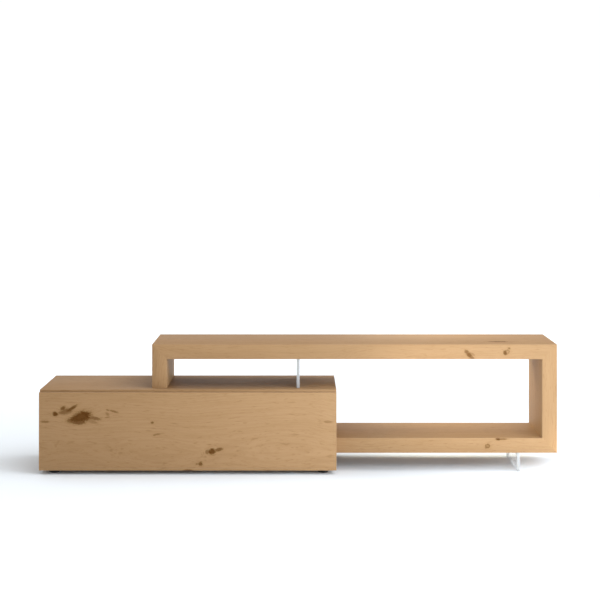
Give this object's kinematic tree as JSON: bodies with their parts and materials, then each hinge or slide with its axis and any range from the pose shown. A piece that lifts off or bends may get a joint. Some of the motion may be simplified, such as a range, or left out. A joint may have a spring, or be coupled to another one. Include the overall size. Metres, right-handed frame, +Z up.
{
  "type": "tv stand",
  "caption": "Low TV stand: a wide cabinet with a handle-less drop-down flap carries one end of an open bridge of thick boards, which clear plates support.",
  "frame": {"origin": "on the floor, under the middle of the overall box with the flap closed", "axes": "+X to the right as seen from the front, +Y towards the wall, +Z up"},
  "size_m": [1.75, 0.4, 0.431],
  "materials": {
    "oak_decor": "satin",
    "zinc_steel": "satin",
    "black_plastic": "matte",
    "grey_plastic": "satin",
    "clear_acrylic": "polished",
    "clear_rubber": "satin"
  },
  "bodies": {
    "stand": {"cabinet_top": "oak_decor", "cabinet_bottom": "oak_decor", "cabinet_side_left": "oak_decor", "cabinet_side_right": "oak_decor", "cabinet_divider": "oak_decor", "cabinet_back": "oak_decor", "bridge_top": "oak_decor", "bridge_leg": "oak_decor", "bridge_upright": "oak_decor", "bridge_shelf": "oak_decor", "hinge_arm_1": "zinc_steel", "hinge_arm_2": "zinc_steel", "hinge_arm_3": "zinc_steel", "stay_stud_left": "zinc_steel", "stay_stud_right": "zinc_steel", "leg_bolt_front": "zinc_steel", "leg_bolt_back": "zinc_steel", "shelf_bolt_front": "zinc_steel", "shelf_bolt_back": "zinc_steel", "support_plate_foot_pin_front": "zinc_steel", "support_plate_foot_pin_back": "zinc_steel", "support_plate_head_pin_front": "zinc_steel", "support_plate_head_pin_back": "zinc_steel", "foot_plate_head_pin_front": "zinc_steel", "foot_plate_head_pin_back": "zinc_steel", "glide_front_left": "black_plastic", "glide_back_left": "black_plastic", "glide_front_right": "black_plastic", "glide_back_right": "black_plastic", "cable_grommet_left": "black_plastic", "cable_grommet_right": "black_plastic", "latch_body_left": "grey_plastic", "latch_body_right": "grey_plastic", "support_plate": "clear_acrylic", "foot_plate": "clear_acrylic", "flap_buffer_left": "clear_rubber", "flap_buffer_right": "clear_rubber"},
    "flap": {"flap": "oak_decor", "hinge_leaf_1": "zinc_steel", "hinge_leaf_2": "zinc_steel", "hinge_leaf_3": "zinc_steel", "hinge_pin_1": "zinc_steel", "hinge_pin_2": "zinc_steel", "hinge_pin_3": "zinc_steel", "stay_flap_bracket_left": "zinc_steel", "stay_flap_bracket_right": "zinc_steel", "strike_plate_left": "zinc_steel", "strike_plate_right": "zinc_steel"},
    "stay_swivel_left": {"stay_swivel_left": "grey_plastic"},
    "stay_rod_left": {"stay_rod_left": "zinc_steel"},
    "latch_plunger_left": {"latch_plunger_left": "black_plastic"},
    "stay_swivel_right": {"stay_swivel_right": "grey_plastic"},
    "stay_rod_right": {"stay_rod_right": "zinc_steel"},
    "latch_plunger_right": {"latch_plunger_right": "black_plastic"}
  },
  "joints": [
    {"name": "flap_hinge", "type": "hinge", "parent": "stand", "child": "flap", "pos_m": [-0.375, -0.193, 0.021], "axis": [1, 0, 0], "range_deg": [0, 90]},
    {"name": "stay_swivel_left_turn", "type": "hinge", "parent": "stand", "child": "stay_swivel_left", "pos_m": [-0.839, -0.13291, 0.113], "axis": [1, 0, 0], "range_deg": [0, 45]},
    {"name": "stay_rod_left_turn", "type": "hinge", "parent": "flap", "child": "stay_rod_left", "pos_m": [-0.839, -0.168, 0.128], "axis": [1, 0, 0], "range_deg": [-45, 0]},
    {"name": "latch_plunger_left_slide", "type": "slide", "parent": "stand", "child": "latch_plunger_left", "axis": [0, -1, 0], "range_m": [0, 0.02]},
    {"name": "stay_swivel_right_turn", "type": "hinge", "parent": "stand", "child": "stay_swivel_right", "pos_m": [0.089, -0.13291, 0.113], "axis": [1, 0, 0], "range_deg": [0, 45]},
    {"name": "stay_rod_right_turn", "type": "hinge", "parent": "flap", "child": "stay_rod_right", "pos_m": [0.089, -0.168, 0.128], "axis": [1, 0, 0], "range_deg": [-45, 0]},
    {"name": "latch_plunger_right_slide", "type": "slide", "parent": "stand", "child": "latch_plunger_right", "axis": [0, -1, 0], "range_m": [0, 0.02]}
  ],
  "couplings": [
    {"joint": "stay_swivel_left_turn", "follows": "flap_hinge", "ratio": 0.5},
    {"joint": "stay_rod_left_turn", "follows": "flap_hinge", "ratio": -0.5},
    {"joint": "latch_plunger_left_slide", "follows": "flap_hinge", "m_per_rad": 0.0127},
    {"joint": "stay_swivel_right_turn", "follows": "flap_hinge", "ratio": 0.5},
    {"joint": "stay_rod_right_turn", "follows": "flap_hinge", "ratio": -0.5},
    {"joint": "latch_plunger_right_slide", "follows": "flap_hinge", "m_per_rad": 0.0127}
  ]
}
